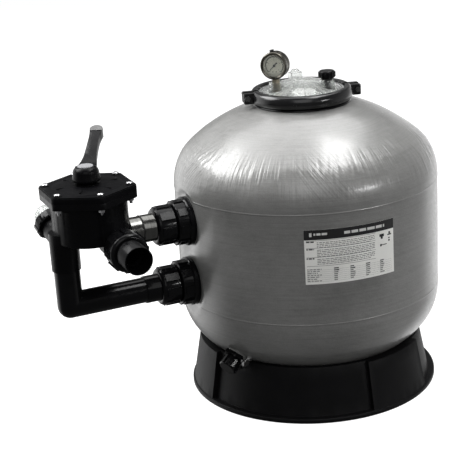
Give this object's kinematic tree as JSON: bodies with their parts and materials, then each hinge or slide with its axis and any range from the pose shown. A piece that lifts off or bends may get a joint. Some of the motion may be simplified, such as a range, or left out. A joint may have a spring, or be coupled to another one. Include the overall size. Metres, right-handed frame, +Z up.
{
  "type": "sand filter tank",
  "caption": "Swimming-pool sand filter: round pressure tank on a skirt, clear clamped lid with gauge and air release, and a side-mounted selector valve with unions and a drain.",
  "frame": {"origin": "centre of the skirt's floor ring, on the floor, on the tank's axis", "axes": "+Z up along the tank's axis, -X from the tank's axis to the selector valve, -Y the side that the pump port faces"},
  "size_m": [0.8062, 0.5304, 0.6947],
  "materials": {
    "tank_skin": "wound glass fibre under clear gloss",
    "base_plastic": "matte",
    "black_plastic": "satin",
    "clamp_plastic": "gloss",
    "clear_plastic": "clear",
    "seal_rubber": "matte",
    "stainless": "brushed",
    "bright_pipe": "brushed",
    "label_sheet": "printed sheet",
    "dial_face": "printed",
    "gauge_steel": "satin",
    "brass": "plain",
    "pointer_black": "matte",
    "tip_grey": "satin",
    "cap_silver": "gloss",
    "inner_plastic": "matte"
  },
  "bodies": {
    "tank": {"tank_shell": "tank_skin", "base_skirt": "base_plastic", "label": "label_sheet", "neck_flange": "black_plastic", "lid": "clear_plastic", "lid_o_ring": "seal_rubber", "gauge_case": "gauge_steel", "gauge_bezel": "gauge_steel", "gauge_lens": "clear_plastic", "gauge_dial": "dial_face", "gauge_stem": "brass", "gauge_fill_plug": "seal_rubber", "bulkhead_fittings": "black_plastic", "bulkhead_gaskets": "seal_rubber", "bulkhead_lock_nuts": "black_plastic", "upper_union_tail": "bright_pipe", "lower_union_tail": "black_plastic", "valve_union_tails": "black_plastic", "union_o_rings": "seal_rubber", "upper_stub_pipe": "bright_pipe", "stub_joint_ring": "seal_rubber", "lower_elbow_pipe": "black_plastic", "inlet_pipe": "inner_plastic", "outlet_pipe": "inner_plastic", "diffuser": "inner_plastic", "lateral_hub": "inner_plastic", "laterals": "inner_plastic", "air_bleed_tube": "inner_plastic", "drain_fitting": "black_plastic", "valve_body": "black_plastic", "valve_cover": "black_plastic", "valve_o_rings": "seal_rubber", "cover_screws": "stainless", "cover_nuts": "stainless", "spider_gasket": "seal_rubber", "rotor_spring": "stainless", "thrust_washer": "stainless", "sight_glass_dome": "clear_plastic", "sight_glass_o_ring": "seal_rubber"},
    "clamp_front": {"clamp_half_front": "clamp_plastic", "clamp_bolts": "stainless"},
    "clamp_rear": {"clamp_half_rear": "clamp_plastic", "clamp_nuts": "stainless"},
    "pointer": {"gauge_pointer": "pointer_black"},
    "air_seal": {"air_release_seal": "seal_rubber"},
    "air_knob": {"air_release_knob": "black_plastic"},
    "drain_seal": {"drain_gasket": "seal_rubber"},
    "drain_cap_body": {"drain_cap": "black_plastic"},
    "upper_nut": {"upper_union_nut": "black_plastic"},
    "lower_nut": {"lower_union_nut": "black_plastic"},
    "pump_nut": {"pump_union_nut": "black_plastic"},
    "return_nut": {"return_union_nut": "black_plastic"},
    "sight_ring": {"sight_glass_ring": "black_plastic"},
    "selector": {"handle_washer": "inner_plastic"},
    "diverter": {"rotor": "inner_plastic", "handle_pin": "stainless", "spring_seat_washer": "stainless"},
    "lever": {"handle": "black_plastic", "handle_tip": "tip_grey", "handle_cap": "cap_silver"}
  },
  "joints": [
    {"name": "clamp_front_back_off", "type": "slide", "parent": "tank", "child": "clamp_front", "axis": [-0.2588, -0.9659, 0], "range_m": [0, 0.01]},
    {"name": "clamp_rear_back_off", "type": "slide", "parent": "tank", "child": "clamp_rear", "axis": [0.2588, 0.9659, 0], "range_m": [0, 0.01]},
    {"name": "gauge_pointer_turn", "type": "hinge", "parent": "tank", "child": "pointer", "pos_m": [-0.05757, -0.00707, 0.664], "axis": [0.6947, 0.7193, 0], "range_deg": [0, 270]},
    {"name": "air_release_turn", "type": "hinge", "parent": "air_seal", "child": "air_knob", "pos_m": [0.03327, -0.04751, 0.64], "axis": [0, 0, 1], "range_deg": [0, 720.1]},
    {"name": "air_release_rise", "type": "slide", "parent": "tank", "child": "air_seal", "axis": [0, 0, 1], "range_m": [0, 0.004]},
    {"name": "drain_cap_turn", "type": "hinge", "parent": "drain_seal", "child": "drain_cap_body", "pos_m": [-0.20934, -0.09102, 0.118], "axis": [-0.7942, -0.3453, -0.5], "range_deg": [0, 1080.2]},
    {"name": "drain_cap_advance", "type": "slide", "parent": "tank", "child": "drain_seal", "axis": [-0.7942, -0.3453, -0.5], "range_m": [0, 0.009]},
    {"name": "selector_turn", "type": "hinge", "parent": "tank", "child": "selector", "pos_m": [-0.456, 0, 0.49], "axis": [0, 0, 1], "continuous": true},
    {"name": "diverter_lift", "type": "slide", "parent": "selector", "child": "diverter", "axis": [0, 0, 1], "range_m": [0, 0.004], "stiffness_N_per_m": 3000, "springref_m": -0.006, "deforming": ["rotor_spring"]},
    {"name": "handle_press", "type": "hinge", "parent": "diverter", "child": "lever", "pos_m": [-0.456, 0, 0.511], "axis": [-0.866, 0.5, 0], "range_deg": [0, 16.02]},
    {"name": "upper_union_turn", "type": "hinge", "parent": "tank", "child": "upper_nut", "pos_m": [-0.316, 0, 0.381], "axis": [-1, 0, 0], "continuous": true},
    {"name": "lower_union_turn", "type": "hinge", "parent": "tank", "child": "lower_nut", "pos_m": [-0.316, 0, 0.256], "axis": [-1, 0, 0], "continuous": true},
    {"name": "pump_union_turn", "type": "hinge", "parent": "tank", "child": "pump_nut", "pos_m": [-0.424, -0.112, 0.381], "axis": [0, -1, 0], "continuous": true},
    {"name": "return_union_turn", "type": "hinge", "parent": "tank", "child": "return_nut", "pos_m": [-0.424, 0.112, 0.381], "axis": [0, 1, 0], "continuous": true},
    {"name": "sight_ring_turn", "type": "hinge", "parent": "tank", "child": "sight_ring", "pos_m": [-0.50762, 0.10141, 0.39488], "axis": [-0.1702, 0.8912, 0.4205], "continuous": true}
  ],
  "couplings": [
    {"joint": "clamp_rear_back_off", "follows": "clamp_front_back_off", "ratio": 1},
    {"joint": "air_release_turn", "follows": "air_release_rise", "rad_per_m": 3141.6},
    {"joint": "drain_cap_turn", "follows": "drain_cap_advance", "rad_per_m": 2094.4},
    {"joint": "handle_press", "follows": "diverter_lift", "rad_per_m": 69.813}
  ]
}
